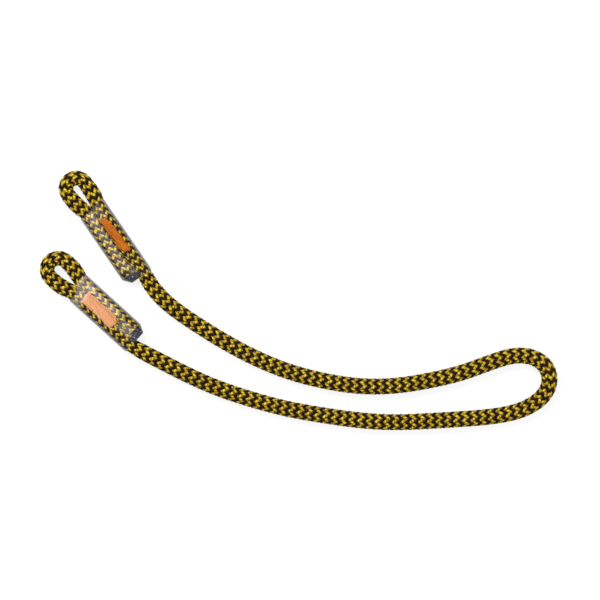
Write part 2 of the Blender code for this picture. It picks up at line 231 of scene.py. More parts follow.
def two_ropes(end, x):
    """Where the standing part and the tail lie across a sewn end, and their radius, at x."""
    middle = ROPE_SPACING / 2
    half_opening = end["opening_width"] / 2 + LOOP_ROPE_RADIUS
    share = np.clip((x - PARTING) / (LOOP_TIP - half_opening - PARTING), 0.0, 1.0)
    spread = (half_opening - middle) * (1 - (1 - share) ** FLARE_FULLNESS)
    lean = end["loop_lean"] * smooth(share)
    bent = end["pivot_shift"] * np.clip(1 - x / TAIL_CUT, 0.0, 1.0) ** NECK_FULLNESS
    radius = EYE_ROPE_RADIUS + MOUTH_SWELL * np.sin(math.pi * share**SWELL_FULLNESS)
    radius = radius + LOOP_SWELL * smooth(share)
    radius = radius + (NECK_RADIUS - EYE_ROPE_RADIUS) * (1 - smooth(x / NECK_LENGTH))
    return bent + lean - spread, ROPE_SPACING + lean + spread, radius


def eye_line(end):
    """The rope's line from the pivot to the tail's cut: along, across and radius."""
    half_opening = end["opening_width"] / 2 + LOOP_ROPE_RADIUS
    round_centre = LOOP_TIP - half_opening
    out = np.arange(0.0, round_centre, LINE_STEP)
    turn = np.arange(0.0, math.pi, LINE_STEP / half_opening)
    arc = np.column_stack([
        round_centre + half_opening * np.sin(turn),
        ROPE_SPACING / 2 + end["loop_lean"] - half_opening * np.cos(turn),
        np.full(len(turn), LOOP_ROPE_RADIUS),
    ])
    back = np.arange(round_centre, TAIL_CUT, -LINE_STEP)
    standing, _, out_radius = two_ropes(end, out)
    _, tail, back_radius = two_ropes(end, back)
    return np.concatenate([
        np.column_stack([out, standing, out_radius]), arc,
        np.column_stack([back, tail, back_radius]),
    ])


eye_lines = {name: eye_line(end) for name, end in ENDS.items()}
print("points along the eyes:", {name: len(line) for name, line in eye_lines.items()})

# %% [markdown]
# Two helpers go between a sewn end's own frame and the world. One places what is made
# there, and the other says where a point of the world lies in it.

# %% Places of a sewn end
def end_directions(name):
    """The way that a sewn end points, and the way across it."""
    heading = ENDS[name]["heading"]
    ahead = np.array([math.cos(heading), math.sin(heading)])
    return ahead, np.array([-ahead[1], ahead[0]])


def place(name, along, across, height=0.0):
    """World places of a sewn end's points. Height counts from the rope's middle."""
    end = ENDS[name]
    pivot = joints[name + "_swing"]["pos_m"]
    ahead, aside = end_directions(name)
    along, across, height = np.broadcast_arrays(
        np.asarray(along, float), np.asarray(across, float), np.asarray(height, float)
    )
    sideways = end["tail_side"] * (across - end["pivot_shift"])
    x = pivot[0] + along * ahead[0] + sideways * aside[0]
    y = pivot[1] + along * ahead[1] + sideways * aside[1]
    return np.stack([x, y, pivot[2] + height], axis=-1)


def seen_from(name, points):
    """How far along and across a sewn end some world points lie."""
    end = ENDS[name]
    ahead, aside = end_directions(name)
    from_pivot = points[:, :2] - np.array(joints[name + "_swing"]["pos_m"][:2])
    return from_pivot @ ahead, from_pivot @ aside / end["tail_side"] + end["pivot_shift"]


lines = {name: place(name, line[:, 0], line[:, 1]) for name, line in eye_lines.items()}
for name, line in lines.items():
    print(name, "tail is cut at", [round(v / MM, 1) for v in line[-1]], "mm")

# %% [markdown]
# The three parts make one unbroken line, from the tail's cut at eye a to the one at
# eye b. It is laid out again in even steps and smoothed a little, because a rope never
# turns a sharp corner. Its radius is kept beside it: 5 mm where the rope is free, less
# in the sleeves, and a little more where it swells on leaving them.

# %% One line for the whole rope
SMOOTHING = 1.2 * MM

neck_swell = smooth(from_nearer_end / NECK_LENGTH)
free_radius = NECK_RADIUS + (ROPE_RADIUS - NECK_RADIUS) * neck_swell
rough_line = np.concatenate([lines["eye_a"][::-1], free_line[1:-1], lines["eye_b"]])
rough_radius = np.concatenate(
    [eye_lines["eye_a"][::-1, 2], free_radius[1:-1], eye_lines["eye_b"][:, 2]]
)
rough_along = distance_along(rough_line)
whole_along = np.linspace(0.0, rough_along[-1], int(rough_along[-1] / LINE_STEP))
half_window = int(2 * SMOOTHING / LINE_STEP)
weights = np.exp(-(np.arange(-half_window, half_window + 1) * LINE_STEP / SMOOTHING) ** 2)
weights /= weights.sum()


def evened(values):
    """Values along the rope, laid out in even steps and smoothed."""
    even = np.interp(whole_along, rough_along, values)
    before = 2 * even[0] - even[half_window:0:-1]
    after = 2 * even[-1] - even[-2:-half_window - 2:-1]
    return np.convolve(np.concatenate([before, even, after]), weights, mode="valid")


whole_line = np.stack([evened(rough_line[:, k]) for k in range(3)], axis=-1)
whole_radius = evened(rough_radius)
rope_length = whole_along[-1]
pivot_a_at = distance_along(lines["eye_a"])[-1]
pivot_b_at = rope_length - distance_along(lines["eye_b"])[-1]
print(f"the whole rope, cut end to cut end: {rope_length / MM:.0f} mm")

# %% [markdown]
# What the photograph shows of each sleeve is kept in one table, in the sewn end's own
# frame: where the film ends at both sides, how its corner is crushed over the cut tail,
# and where the stitching lies. The last entries say where the film looks milky. Each
# zone has two strengths, one for the film itself and one for the yarn that it clings
# to, then its limits along and across, each pair with the softness of its edges.

# %% The two sleeves
SLEEVES = {
    "eye_a": {
        "near_end": 6.4 * MM, "tip_across": 10.1 * MM, "crush": 4.7 * MM,
        "mouth": (61.0 * MM, 58.4 * MM), "veil": 0.0,
        "stitches": {
            "near": (24.0 * MM, 25.2 * MM, 28.2 * MM), "far": (49.8 * MM, 51.0 * MM, 51.4 * MM),
            "near_across": (-1.3 * MM, 4.0 * MM), "far_across": (0.1 * MM, 4.2 * MM),
        },
        "milky": [
            (0.02, 0.085, (15.0 * MM, 59.0 * MM, 4.0 * MM), (5.6 * MM, 11.4 * MM, 1.6 * MM)),
            (0.02, 0.06, (50.0 * MM, 62.0 * MM, 4.0 * MM), (-1.0 * MM, 9.0 * MM, 3.0 * MM)),
            (0.03, 0.06, (9.0 * MM, 17.0 * MM, 3.0 * MM), (3.5 * MM, 8.0 * MM, 2.0 * MM)),
        ],
    },
    "eye_b": {
        "near_end": 8.4 * MM, "tip_across": 11.3 * MM, "crush": 5.2 * MM,
        "mouth": (57.0 * MM, 61.5 * MM), "veil": 0.225,
        "stitches": {
            "near": (25.8 * MM, 25.0 * MM, 28.0 * MM), "far": (50.8 * MM, 52.4 * MM, 51.2 * MM),
            "near_across": (-0.2 * MM, 7.5 * MM), "far_across": (0.2 * MM, 7.2 * MM),
        },
        "milky": [
            (0.10, 0.06, (50.0 * MM, 64.0 * MM, 3.0 * MM), (-6.0 * MM, 12.5 * MM, 2.0 * MM)),
            (0.02, 0.16, (26.0 * MM, 54.0 * MM, 6.0 * MM), (8.0 * MM, 11.6 * MM, 1.4 * MM)),
            (0.05, 0.10, (12.0 * MM, 24.0 * MM, 4.0 * MM), (2.6 * MM, 9.6 * MM, 2.0 * MM)),
        ],
    },
}
print("milky zones:", {name: len(sleeve["milky"]) for name, sleeve in SLEEVES.items()})

# %% [markdown]
# Shrink film isn't evenly clear. Where it clings to the braid it lies on the yarn like
# thin milk. Haze in the film alone would hang over the rope as a fog and blur it, so
# most of the milk is painted on the yarn below, where the braid stays crisp.

# %% Milky film
FILM_EDGE = 1.5 * MM
FILM_ACROSS = (-6.0 * MM, 15.0 * MM)


def band(value, low, high, edge):
    """1 between two limits and 0 outside them, with soft edges."""
    return smooth((value - low) / edge + 0.5) * smooth((high - value) / edge + 0.5)


def mouth_at(name, across):
    """Where a sleeve's film ends beside the eye. The cut is askew."""
    return np.interp(across, (0.0, ROPE_SPACING), SLEEVES[name]["mouth"])


def milkiness(name, along, across):
    """How milky a sleeve looks at some places: on its film, and on the yarn under it."""
    on_film, on_yarn = np.zeros((2, *np.shape(along)))
    for film_part, yarn_part, lengthwise, crosswise in SLEEVES[name]["milky"]:
        share = band(along, *lengthwise) * band(across, *crosswise)
        on_film += film_part * share
        on_yarn += yarn_part * share
    return on_film, on_yarn


def under_film(points):
    """How milky the film is that clings to world points on the rope."""
    milk = np.zeros(len(points))
    for name, sleeve in SLEEVES.items():
        along, across = seen_from(name, points)
        held = band(along, sleeve["near_end"], mouth_at(name, across), FILM_EDGE)
        held = held * band(across, *FILM_ACROSS, FILM_EDGE)
        milk += held * milkiness(name, along, across)[1]
    return milk


print(f"the milkiest yarn: {under_film(whole_line).max():.2f}")

# %% [markdown]
# The cover is a braid of 24 strands, 12 running each way round. Every strand passes over
# two and under two, and the crossings step round the rope, so the floats line up in
# columns along it: two columns slope one way and the next two the other. The strands are
# yellow and black by turns, which makes each yellow row a zigzag across the rope.
#
# The braid is measured in cells, the length that one crossing takes along the rope. In
# the tight seams the cells are shorter, and the film presses the floats flatter. In the
# tails the rows stand at a tilt, so one side of the rope runs a little ahead there.

# %% How the braid lies along the rope
STRANDS = 12
FREE_CELL = 2.80 * MM
SLEEVE_CELL = 2.54 * MM
CELL_CHANGE = 5.0 * MM
FLOAT_HEIGHT = 0.80 * MM
PRESSED_FLOAT = 0.25
PRESSED_SWELL = 0.12 * MM
ROW_SLIP = 0.30
SLIP_FROM, SLIP_TO, SLIP_FADE = 5.0 * MM, 40.0 * MM, 9.0 * MM

past_pivot = np.maximum(pivot_a_at - whole_along, whole_along - pivot_b_at)
from_cut = np.minimum(whole_along, rope_length - whole_along)
in_sleeve = band(past_pivot, NECK_LENGTH, SLEEVE_FAR, CELL_CHANGE)
in_sleeve += band(from_cut, -NECK_LENGTH, SLEEVE_FAR - TAIL_CUT, CELL_CHANGE)
cell_length = FREE_CELL + (SLEEVE_CELL - FREE_CELL) * in_sleeve
cells = np.concatenate([[0.0], np.cumsum(np.diff(whole_along) / cell_length[1:])])
float_height = FLOAT_HEIGHT * (1 - PRESSED_FLOAT * in_sleeve)
cover_radius = whole_radius + PRESSED_SWELL * in_sleeve
row_slip = ROW_SLIP * band(from_cut, SLIP_FROM, SLIP_TO, SLIP_FADE)
print(f"repeats of the braid along the rope: {cells[-1] / 2:.0f}")

# %% [markdown]
# Where a strand lies on top of two others it makes a float, which swells like a small
# pillow between valleys. Two whole numbers name each crossing, one for the strand of
# each set. Their difference says which strand is on top and which part of its float
# shows there, so the weave needs no table. The numbers also give each float its luck.

# %% Floats
WEAVE_REPEAT = 4
END_FULLNESS = 3
RANDOM_SEED = 12
SCATTER_STEPS = (12.9898, 78.233)
SCATTER_SCALE = 43758.5453


def top_strand(i, j):
    """Whether strand i of the first set is on top where it meets strand j of the other."""
    return np.mod(i - j, WEAVE_REPEAT) < WEAVE_REPEAT / 2


def float_place(p, q, i, j):
    """Where in its float a point of cell (i, j) lies: across it, -1 to 1, and along it."""
    step = np.mod(i - j, WEAVE_REPEAT)
    share_p = p - i
    share_q = q - j
    across = np.where(step < WEAVE_REPEAT / 2, 2 * share_p - 1, 2 * share_q - 1)
    along = np.select(
        [step == 0, step == 1, step == 2], [share_q, share_q - 1, share_p - 1], share_p
    )
    return across, along


def pillow(across, along):
    """The height of a float, from 0 at its edges to 1 along its crown."""
    rounded = np.sqrt(np.clip(1 - across**2, 0.0, 1.0))
    ends = np.sqrt(np.clip(1 - np.abs(along) ** END_FULLNESS, 0.0, 1.0))
    return rounded * ends


def scatter(a, b):
    """A settled number between 0 and 1 for a pair of whole numbers."""
    value = np.sin(a * SCATTER_STEPS[0] + b * SCATTER_STEPS[1] + RANDOM_SEED) * SCATTER_SCALE
    return value - np.floor(value)


over = [bool(top_strand(0, j)) for j in range(WEAVE_REPEAT)]
print("whether a strand goes over the next four that it meets:", over)

# %% [markdown]
# The braid is laid round the rope's line. Three helpers ask that line what holds at any
# place along it: a value that was kept, the rope's middle, and the level way across it.

# %% Places along the rope
DIRECTION_REACH = 0.8 * MM


def at_places(along, values):
    """The values, kept along the whole rope, at the given places along it."""
    return np.interp(along, whole_along, values)


def rope_middle(along):
    """Points of the rope's middle line at the given places along it."""
    return np.stack([at_places(along, whole_line[:, k]) for k in range(3)], axis=-1)


def rope_side(along):
    """The level direction across the rope at the given places along it."""
    way = rope_middle(along + DIRECTION_REACH) - rope_middle(along - DIRECTION_REACH)
    way = way[..., :2] / np.linalg.norm(way[..., :2], axis=-1, keepdims=True)
    return np.stack([-way[..., 1], way[..., 0], np.zeros(way.shape[:-1])], axis=-1)


halfway = (rope_middle(rope_length / 2) / MM).round(1).tolist()
print("halfway along, the rope's middle is at", halfway, "mm")

# %% [markdown]
# The mesh follows the braid's lattice. Its two directions are the two sets of strands,
# so the edge of every float is an edge of the mesh, and a face never has two colours. A
# picture of a braid laid on a smooth tube would be simpler, but its outline would be
# smooth too, and a rope's outline is a row of small bumps.

# %% The cover's points
STRAND_CUTS = 6
ROWS_PER_CELL = 2 * STRAND_CUTS
AROUND = STRANDS * STRAND_CUTS
ROUNDING = 1e-6
YELLOW_SWELL = 0.03
VALLEY_SHARE = 0.70
TWIST_WAVE = 0.10
TWIST_LENGTHS = (41.0 * MM, 17.0 * MM)
BRAID_START_ANGLE = 0.35
UP = np.array([0.0, 0.0, 1.0])


def cover_points(rows):
    """The cover's points, row by row. Every second row is turned on by half a step."""
    row, slot = np.meshgrid(rows, np.arange(AROUND), indexing="ij")
    turned = 2 * slot + np.mod(row, 2)
    p = (row + turned) / ROWS_PER_CELL
    q = (row - turned) / ROWS_PER_CELL
    across, along_float = float_place(p, q, np.floor(p + ROUNDING), np.floor(q + ROUNDING))
    crown = pillow(across, along_float)
    swell_p = -YELLOW_SWELL * np.cos(math.pi * p)
    swell_q = -YELLOW_SWELL * np.cos(math.pi * q)
    places = np.interp((p + q + swell_p + swell_q) / 2, cells, whole_along)
    turn = (p - q + swell_p - swell_q) * math.pi / STRANDS + BRAID_START_ANGLE
    turn += TWIST_WAVE * sum(np.sin(places / length) for length in TWIST_LENGTHS)
    places = places + at_places(places, row_slip * whole_radius) * np.cos(turn)
    radius = at_places(places, cover_radius)
    radius = radius + at_places(places, float_height) * (crown - VALLEY_SHARE)
    outwards = np.cos(turn)[..., None] * rope_side(places) + np.sin(turn)[..., None] * UP
    return (rope_middle(places) + radius[..., None] * outwards).reshape(-1, 3)


print("points round the rope:", AROUND)

# %% [markdown]
# Four points make a diamond face. Each face belongs to the strand on top, which gives
# it its colour. Its corners get UVs: how far across and along the float they lie, for
# the yarn's material. Each float also gets a tone of its own, as no two floats of a
# real rope are equally dark.

# %% The cover's faces
DIAMOND = ((0, 0), (1, 0), (1, 1), (0, 1))


def cover_faces(rows):
    """The cover's faces, with the lattice place of each one's lowest corner."""
    index = np.arange(len(rows) * AROUND).reshape(len(rows), AROUND)
    row, slot = np.meshgrid(np.arange(len(rows) - 2), np.arange(AROUND), indexing="ij")
    odd = np.mod(rows[row], 2)
    low = index[row, slot]
    right = index[row + 1, np.mod(slot + odd, AROUND)]
    high = index[row + 2, slot]
    left = index[row + 1, np.mod(slot + odd - 1, AROUND)]
    faces = np.stack([low, right, high, left], axis=-1).reshape(-1, 4)
    at_row, at_turn = rows[row].reshape(-1), (2 * slot + odd).reshape(-1)
    return faces, (at_row + at_turn) // 2, (at_row - at_turn) // 2


def cover_strands(corner_p, corner_q):
    """Each face's top strand, its corners' places in the float, and its tone and twist."""
    i, j = corner_p // STRAND_CUTS, corner_q // STRAND_CUTS
    on_top = top_strand(i, j)
    strand = np.where(on_top, i, j)
    uv = np.empty((len(strand), 4, 2))
    for corner, (add_p, add_q) in enumerate(DIAMOND):
        across, along = float_place(
            (corner_p + add_p) / STRAND_CUTS, (corner_q + add_q) / STRAND_CUTS, i, j
        )
        uv[:, corner, 0] = np.where(on_top, across, -across) / 2 + 0.5
        uv[:, corner, 1] = along / 2 + 0.5
    step = np.mod(i - j, WEAVE_REPEAT)
    other = np.where(on_top, j, i) - np.where(on_top, step == 0, step == 3)
    tone = scatter(np.mod(strand, STRANDS) + STRANDS * on_top, other)
    return strand, uv, tone, scatter(other, strand)


print("faces on one cell of the braid:", ROWS_PER_CELL * AROUND)

# %% [markdown]
# Every piece here is a mesh made from lists of points and faces. One helper makes them
# all, and paints on them the values that their materials read. The braid then needs
# only its rows, its two yarns and its UVs.

# %% Meshes
def made_mesh(name, points, faces, materials, painted_values):
    """A smooth mesh in the scene, with values painted on its points or its faces."""
    mesh = bpy.data.meshes.new(name)
    mesh.from_pydata(points.tolist(), [], faces)
    for title, spot, values in painted_values:
        layer = mesh.attributes.new(title, "FLOAT", spot)
        layer.data.foreach_set("value", values)
    for material in materials:
        mesh.materials.append(material)
    mesh.polygons.foreach_set("use_smooth", np.ones(len(faces), dtype=bool))
    mesh.update()
    made = bpy.data.objects.new(name, mesh)
    bpy.context.scene.collection.objects.link(made)
    return made


def braid_mesh(name, start, end, yellow, black):
    """A stretch of the rope's braided cover between two places along the whole rope."""
    first = int(math.floor(at_places(start, cells) * ROWS_PER_CELL))
    last = int(math.ceil(at_places(end, cells) * ROWS_PER_CELL))
    rows = np.arange(first, last + 1)
    points = cover_points(rows)
    faces, corner_p, corner_q = cover_faces(rows)
    strand, uv, tone, twist = cover_strands(corner_p, corner_q)
    made = made_mesh(name, points, faces.tolist(), [yellow, black], [
        ("tone", "FACE", tone), ("twist", "FACE", twist), ("milk", "POINT", under_film(points)),
    ])
    made.data.polygons.foreach_set("material_index", np.mod(strand, 2).astype(np.int32))
    made.data.uv_layers.new(name="strand").data.foreach_set("uv", uv.reshape(-1))
    return made


print("rows of the mesh along the whole rope:", int(cells[-1] * ROWS_PER_CELL))

# %% [markdown]
# Materials are built from shader nodes. A few helpers keep that short: each entry of a
# node is given a number, a colour, or another node's output, which is written as the
# node and the output's name. Blender's own names for these nodes all start with
# ShaderNode, which the helper adds.

# %% Nodes and their entries
def new_material(name):
    """A material, and the shader node that it starts with."""
    made = bpy.data.materials.new(name)
    made.use_nodes = True
    return made, made.node_tree.nodes["Principled BSDF"]


def feed(material, entry, given):
    """Sets an entry of a node to a value, or wires another node's output to it."""
    if isinstance(given, tuple) and isinstance(given[-1], str):
        source, output = given
        material.node_tree.links.new(source.outputs[output], entry)
    else:
        entry.default_value = given


def fill(material, target, **entries):
    """Feeds the named entries of a node."""
    for title, given in entries.items():
        feed(material, target.inputs[title.replace("_", " ")], given)


def node(material, kind, **entries):
    """A shader node of one kind, with its entries fed."""
    made = material.node_tree.nodes.new("ShaderNode" + kind)
    fill(material, made, **entries)
    return made


# %% [markdown]
# Three kinds of node come up again and again: ramps, which turn a number into a colour,
# sums, and mixtures of colours. Each helper gives back its node with the output's name,
# ready to be fed to the next one. Values painted on a mesh are read by their name.

# %% Ramps, sums and mixtures
def ramp(material, source, stops):
    """A colour that follows the given stops."""
    made = node(material, "ValToRGB", Fac=source)
    elements = made.color_ramp.elements
    while len(elements) < len(stops):
        elements.new(0.5)
    for element, (position, colour) in zip(elements, stops):
        element.position = position
        element.color = (*colour, 1.0)
    return made, "Color"


def shades(material, source, stops):
    """A grey level that follows the given stops."""
    return ramp(material, source, [(stop, (level, level, level)) for stop, level in stops])


def maths(material, operation, first, second):
    """The sum, product or other outcome of two numbers or outputs."""
    made = node(material, "Math")
    made.operation = operation
    feed(material, made.inputs[0], first)
    feed(material, made.inputs[1], second)
    return made, "Value"


def painted(material, title):
    """A value painted on the mesh."""
    made = node(material, "Attribute")
    made.attribute_name = title
    return made, "Fac"


def mixed(material, blend, share, first, second):
    """Two colours mixed."""
    made = node(material, "Mix")
    made.data_type = "RGBA"
    made.blend_type = blend
    fill(material, made, Factor=share, A=first, B=second)
    return made, "Result"


# %% [markdown]
# A strand is a few polyester yarns side by side, twisted, so every float shows two or
# three slanting beads. Cut into the mesh they would need many times its faces, so the
# material draws them: a wave runs along the float at a slant and bumps it, and paints shade
# in its grooves and light on its crowns. Fine streaks stand for the filaments. Where film
# clings to the rope it fills the grooves, so the milk painted there also lightens their
# painted shade. The values below are painted shades across and along a float, and the
# yarns' colours from a groove's painted shade to a crown's painted light.

# %% Shades of the yarn
# Painted shade: across a float, along it, and in the grooves between its beads.
SIDE_FADE = [(0.0, 0.25), (0.07, 0.72), (0.22, 1.0), (0.78, 1.0), (0.93, 0.72), (1.0, 0.25)]
END_FADE = [(0.0, 0.50), (0.14, 0.82), (0.34, 1.0), (0.66, 1.0), (0.86, 0.82), (1.0, 0.50)]
BEAD_FADE = [(0.0, 0.52), (0.14, 0.80), (0.32, 1.0)]
FILAMENT_FADE = [(0.35, 0.5), (0.62, 1.0)]
BEADS_PER_FLOAT = 1.7
BEAD_LEAN = 0.55
BEAD_RELIEF = 0.35 * MM
FILAMENT_STRETCH = (7.0, 1.1, 1.0)
FILAMENT_RELIEF = 0.1 * MM
TONE_SPREAD = 0.18
STREAK_STRENGTH = 0.30
MILK_EVENS = 3.5
YARN_MILK = (0.96, 0.86, 1.0, 1.0)
# Colours from groove to crown: painted shade at the low stops, painted light at the high.
YELLOW_STOPS = [
    (0.0, (0.030, 0.012, 0.0005)), (0.30, (0.17, 0.082, 0.001)),
    (0.70, (0.39, 0.25, 0.005)), (1.0, (0.78, 0.60, 0.035)),
]
BLACK_STOPS = [
    (0.0, (0.004, 0.0015, 0.0002)), (0.5, (0.011, 0.006, 0.0012)), (1.0, (0.026, 0.018, 0.009)),
]

print("beads on a float:", BEADS_PER_FLOAT)

# %% [markdown]
# One material serves both yarns, with other colours. The float's painted shade picks the
# colour from its ramp, so a groove is painted not only darker but also browner, as shade
# between floats looks, and a crown is painted lighter, where light falls on it. The black
# yarn hardly shines, because its gloss would make it grey from above.

# %% Yarn
def filled_in(material, shade, kept):
    """A shade whose hollows are kept only in part."""
    hollow = maths(material, "SUBTRACT", 1.0, shade)
    return maths(material, "SUBTRACT", 1.0, maths(material, "MULTIPLY", hollow, kept))


def strand_material(name, stops, gloss):
    """Polyester yarn: slanting beads, with painted shade at a float's sides, ends and bead
    grooves.
    """
    yarn, body = new_material(name)
    uv = node(yarn, "UVMap")
    uv.uv_map = "strand"
    parts = node(yarn, "SeparateXYZ", Vector=(uv, "UV"))
    # Painted shade at a float's sides and ends, where the floats beside it shade it.
    sides = shades(yarn, (parts, "X"), SIDE_FADE)
    ends = shades(yarn, (parts, "Y"), END_FADE)
    slant = maths(yarn, "MULTIPLY", (parts, "X"), BEAD_LEAN)
    lengthwise = maths(yarn, "MULTIPLY", (parts, "Y"), BEADS_PER_FLOAT)
    turns = maths(yarn, "ADD", maths(yarn, "ADD", slant, lengthwise), painted(yarn, "twist"))
    # Painted shade in the grooves between beads; the same beads drive the bump below.
    beads = shades(yarn, maths(yarn, "PINGPONG", turns, 0.5), BEAD_FADE)
    evened_out = maths(yarn, "MULTIPLY", painted(yarn, "milk"), MILK_EVENS)
    kept = maths(yarn, "SUBTRACT", 1.0, evened_out)
    crowns = filled_in(yarn, maths(yarn, "MULTIPLY", sides, ends), kept)
    shade = maths(yarn, "MULTIPLY", crowns, filled_in(yarn, beads, kept))
    spread = maths(yarn, "MULTIPLY", painted(yarn, "tone"), TONE_SPREAD)
    # The ramp turns the painted shade into colour: dark and brown in grooves, painted light on
    # crowns.
    shaded_colour = ramp(yarn, maths(yarn, "SUBTRACT", shade, spread), stops)
    stretch = node(yarn, "Mapping", Vector=(uv, "UV"), Scale=FILAMENT_STRETCH)
    filaments = node(
        yarn, "TexNoise", Vector=(stretch, "Vector"),
        Scale=2.2, Detail=2.0, Roughness=0.6,
    )
    grey = shades(yarn, (filaments, "Fac"), FILAMENT_FADE)
    streaked = mixed(yarn, "MULTIPLY", STREAK_STRENGTH, shaded_colour, grey)
    clinging = maths(yarn, "MULTIPLY", painted(yarn, "milk"), crowns)
    milky = mixed(yarn, "ADD", clinging, streaked, YARN_MILK)
    fine = node(
        yarn, "Bump", Strength=0.4, Distance=FILAMENT_RELIEF, Height=(filaments, "Fac")
    )
    coarse = node(
        yarn, "Bump", Strength=1.0, Distance=BEAD_RELIEF,
        Height=beads, Normal=(fine, "Normal"),
    )
    fill(
        yarn, body, Base_Color=milky, Roughness=0.6, Specular_IOR_Level=gloss,
        Normal=(coarse, "Normal"),
    )
    return yarn


yellow_yarn = strand_material("rope_yellow_yarn", YELLOW_STOPS, gloss=0.22)
black_yarn = strand_material("rope_black_yarn", BLACK_STOPS, gloss=0.04)
print("nodes in the yarn's material:", len(yellow_yarn.node_tree.nodes))

# %% [markdown]
# The rope is made in five stretches that share one lattice, so the braid runs through
# every join. Two joins lie inside the sleeves, and the other two on both sides of the
# bight. Each tail stops short of its cut, where the melted end takes its place.

# %% The five stretches
INSIDE_SLEEVE = 10.0 * MM
BIGHT_SEAM_X = 0.124

past_seam = np.nonzero(whole_line[:, 0] > BIGHT_SEAM_X)[0]
bight_from, bight_to = whole_along[past_seam[0]], whole_along[past_seam[-1]]
leg_a_from = pivot_a_at - NECK_LENGTH - INSIDE_SLEEVE
leg_b_to = pivot_b_at + NECK_LENGTH + INSIDE_SLEEVE
tail_trims = {
    name: sleeve["near_end"] + sleeve["crush"] - TAIL_CUT for name, sleeve in SLEEVES.items()
}
stretches = {
    "eye_a_braid": (tail_trims["eye_a"], leg_a_from),
    "leg_a_braid": (leg_a_from, bight_from),
    "bight_braid": (bight_from, bight_to),
    "leg_b_braid": (bight_to, leg_b_to),
    "eye_b_braid": (leg_b_to, rope_length - tail_trims["eye_b"]),
}
braids = {
    name: braid_mesh(name, start, end, yellow_yarn, black_yarn)
    for name, (start, end) in stretches.items()
}
for name, piece in braids.items():
    print(name, len(piece.data.polygons), "faces")

for name in ENDS:
    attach(braids[name + "_braid"], name)
for name in ("eye_a", "eye_b", "leg_a", "leg_b"):
    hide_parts(name + "_rope_cover", name + "_rope_core")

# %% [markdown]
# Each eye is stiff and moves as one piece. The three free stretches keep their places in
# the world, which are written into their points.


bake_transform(braids["leg_a_braid"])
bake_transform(braids["bight_braid"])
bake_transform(braids["leg_b_braid"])

# %% [markdown]
# The clear sleeve is a film shrunk round both ropes, so its form starts from two
# circles, one for each rope. At the near end the corner over the tail's cut is crushed
# inwards, because nothing fills it: there the tail's circle shrinks and moves.

# %% Circles under the film
FILM_GAP = 0.30 * MM
CRUSHED_RADIUS = 1.7 * MM


def film_circles(name, x):
    """The two circles that the film goes round at one station, and how crushed it is there."""
    standing, tail, radius = two_ropes(ENDS[name], x)
    sleeve = SLEEVES[name]
    crushed = min(max(1 - (x - sleeve["near_end"]) / sleeve["crush"], 0.0), 1.0)
    standing_radius = radius + FILM_GAP
    tail_radius = standing_radius + (CRUSHED_RADIUS - standing_radius) * crushed
    full_edge = tail + standing_radius
    tail = full_edge + (sleeve["tip_across"] - full_edge) * crushed - tail_radius
    return standing, standing_radius, tail, tail_radius, crushed


tip_radius = film_circles("eye_a", SLEEVES["eye_a"]["near_end"])[3]
print(f"the tail's circle shrinks to {tip_radius / MM:.1f} mm at the tip")

# %% [markdown]
# The film's section is the outline that a tight band makes round the two circles: an
# arc on each and a straight web between them, above and below. The webs sag a little,
# as they have nothing under them. Which way each point faces is kept beside it.

# %% The film's section
SIDE_GAP = 0.40 * MM
ARC_POINTS = 18
WEB_POINTS = 10
VALLEY_SAG = 0.55 * MM
SAG_FULLNESS = 1.5


def film_section(name, x):
    """The film's outline at one station: across, height, and which way it faces."""
    standing, standing_radius, tail, tail_radius, crushed = film_circles(name, x)
    spacing = tail - standing
    tangent = math.acos(min(max((standing_radius - tail_radius) / spacing, -1.0), 1.0))
    tail_turn = np.linspace(-tangent, tangent, ARC_POINTS)
    standing_turn = np.linspace(tangent, 2 * math.pi - tangent, ARC_POINTS)
    tail_arc = np.column_stack([
        tail + (tail_radius + SIDE_GAP * (1 - crushed)) * np.cos(tail_turn),
        tail_radius * np.sin(tail_turn),
    ])
    standing_arc = np.column_stack([
        standing + (standing_radius + SIDE_GAP) * np.cos(standing_turn),
        standing_radius * np.sin(standing_turn),
    ])
    shares = np.arange(1, WEB_POINTS + 1) / (WEB_POINTS + 1)
    sag = VALLEY_SAG * np.sin(math.pi * shares) ** SAG_FULLNESS
    upper = tail_arc[-1] + (standing_arc[0] - tail_arc[-1]) * shares[:, None]
    lower = standing_arc[-1] + (tail_arc[0] - standing_arc[-1]) * shares[:, None]
    upper[:, 1] -= sag
    lower[:, 1] += sag
    web_facing = np.full(WEB_POINTS, math.sin(tangent))
    facing = [np.sin(tail_turn), web_facing, np.sin(standing_turn), -web_facing]
    return np.concatenate([tail_arc, upper, standing_arc, lower]), np.concatenate(facing)


print("points round the film:", len(film_section("eye_a", SLEEVE_FAR)[0]))

# %% [markdown]
# The film rises over the stitching, is finely creased, and falls in folds round its
# crushed tip. Beside the eye its cut is askew, so the stations lean more and more
# towards it. Three values are painted on its points for the material: how hazy it is,
# how dark its tip is, and how far a point lies round the side.

# %% The film's stations
STITCH_LIFT = 0.75 * MM
LIFT_FADE = 5.0 * MM
SKEW_FULLNESS = 3
CREASE = 0.05 * MM
CREASE_LENGTH, CREASE_WIDTH, CREASE_BEND = 1.9 * MM, 3.1 * MM, 3
TIP_SHADE = 3.2 * MM
TIP_WIDTH = 0.7
FOLD_DEPTH = 0.30 * MM
FOLD_WIDTH, FOLD_LENGTH = 0.9 * MM, 2.3 * MM
CLEAR_FILM = 0.010
DARK_TIP = 0.88
SIDE_LEAST = 0.14
SIDE_FROM, SIDE_FADE_OVER = 0.85, 0.30


